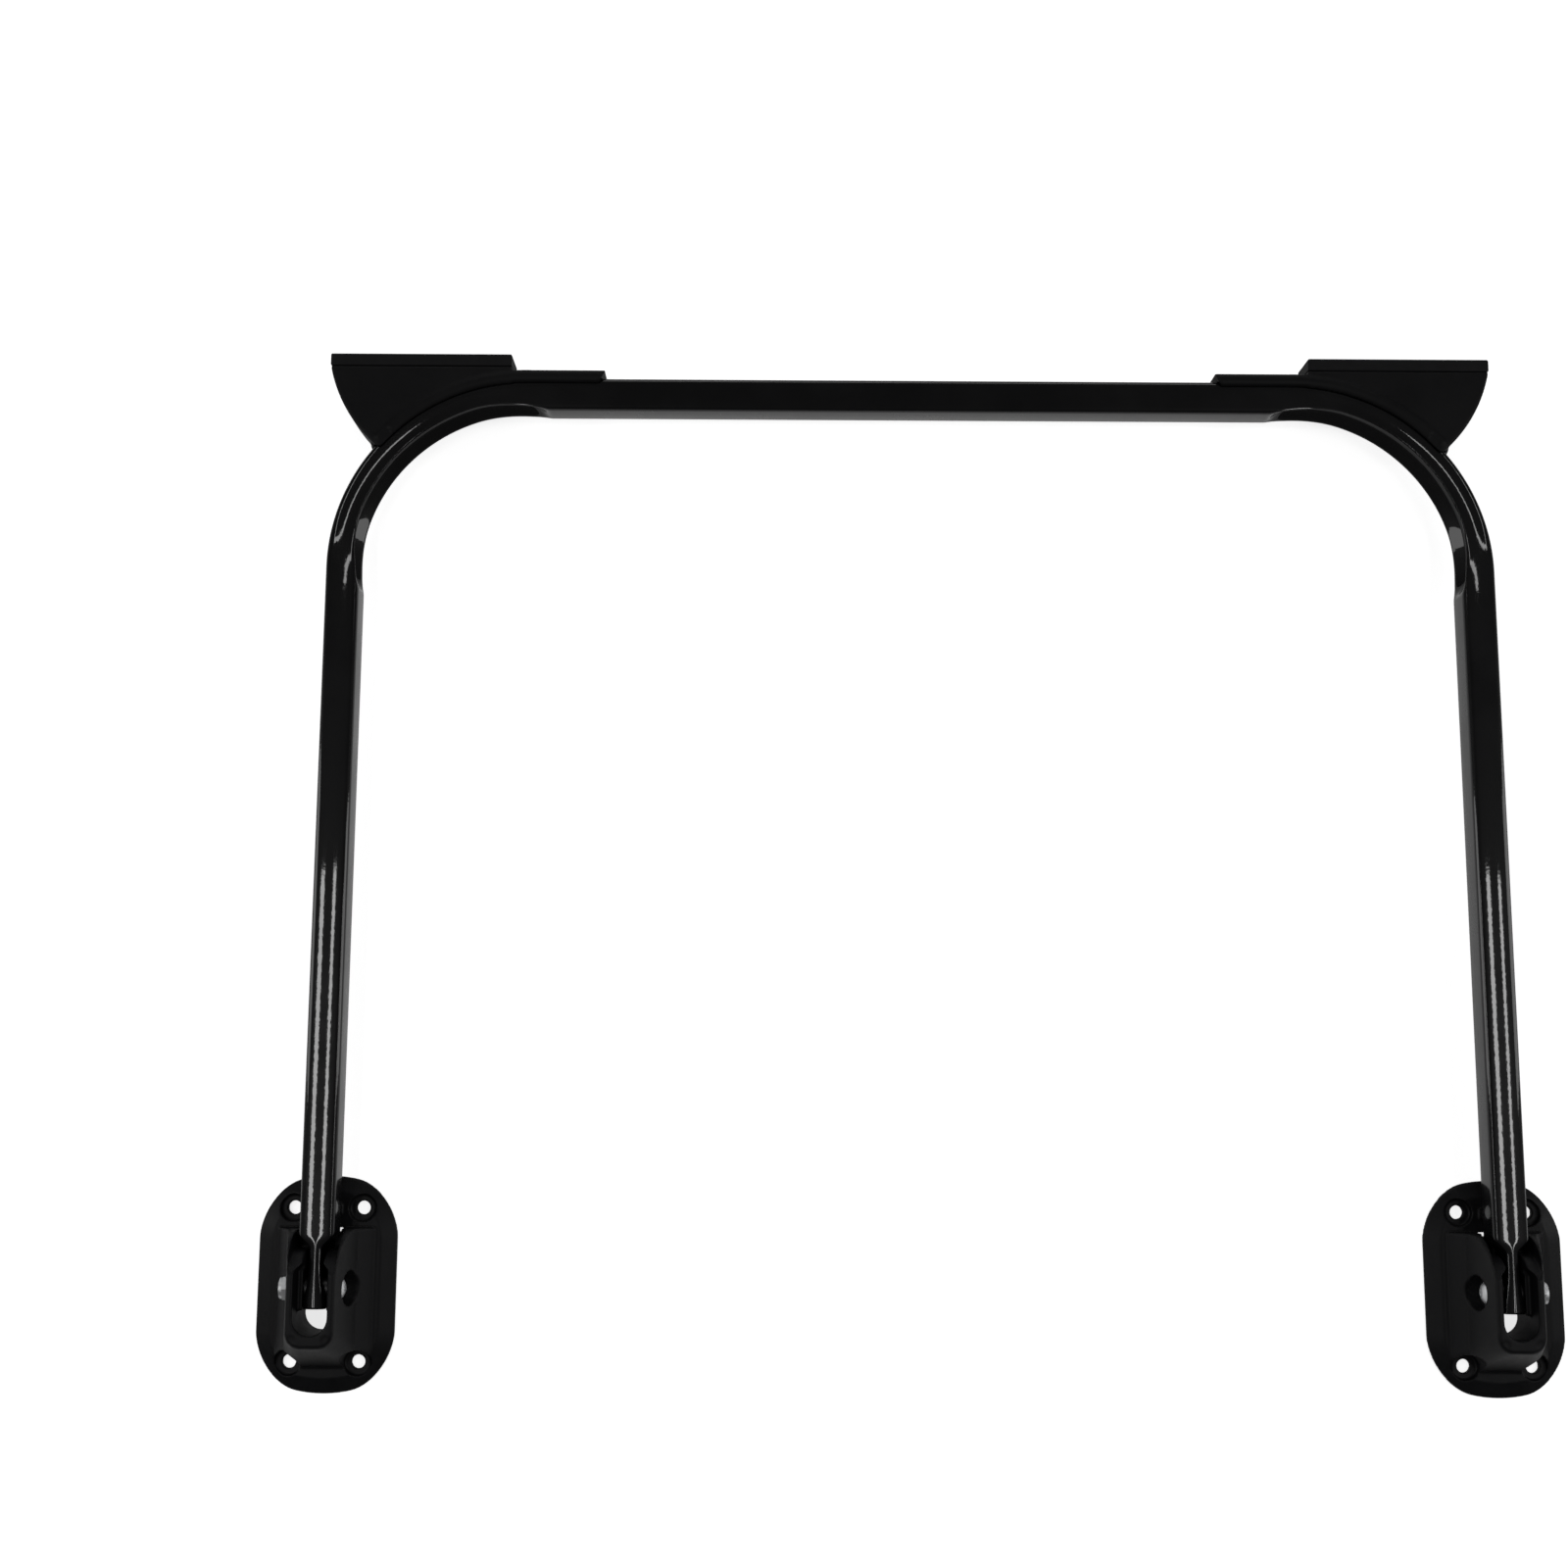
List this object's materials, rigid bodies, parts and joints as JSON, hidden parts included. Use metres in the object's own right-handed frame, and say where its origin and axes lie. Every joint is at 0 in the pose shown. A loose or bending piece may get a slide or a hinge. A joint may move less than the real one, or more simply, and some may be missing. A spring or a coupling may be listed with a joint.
{
  "type": "folding support bracket",
  "caption": "Folding U-shaped square-tube frame on two screw-down pivot feet, with padded corner blocks that carry a load.",
  "frame": {"origin": "midway between the two feet on the surface they are screwed to, below the pivot axis", "axes": "+X along the crossbar and the pivot axis, +Y from the feet to the crossbar, +Z away from the mounting surface"},
  "size_m": [0.776, 0.6275, 0.046],
  "materials": {
    "tube_paint": "gloss black powder coat",
    "block_plastic": "satin black moulded polypropylene",
    "pad_rubber": "matte black moulded rubber",
    "foot_plastic": "satin black glass-filled nylon, fine texture",
    "sleeve_nylon": "black nylon",
    "bolt_steel": "bright stainless steel",
    "screw_steel": "zinc plated"
  },
  "bodies": {
    "feet": {"left_foot": "foot_plastic", "right_foot": "foot_plastic", "left_pivot_bolt": "bolt_steel", "right_pivot_bolt": "bolt_steel", "left_nut_washer": "bolt_steel", "right_nut_washer": "bolt_steel", "left_lock_nut": "bolt_steel", "right_lock_nut": "bolt_steel", "left_nut_insert": "sleeve_nylon", "right_nut_insert": "sleeve_nylon"},
    "frame": {"frame_tube": "tube_paint", "left_corner_block": "block_plastic", "right_corner_block": "block_plastic", "left_rest_pad": "pad_rubber", "right_rest_pad": "pad_rubber", "left_block_screws": "screw_steel", "right_block_screws": "screw_steel", "left_pivot_sleeve": "sleeve_nylon", "right_pivot_sleeve": "sleeve_nylon"}
  },
  "joints": [
    {"name": "frame_fold", "type": "hinge", "parent": "feet", "child": "frame", "pos_m": [0, 0, 0.026], "axis": [1, 0, 0], "range_deg": [0, 110]}
  ]
}
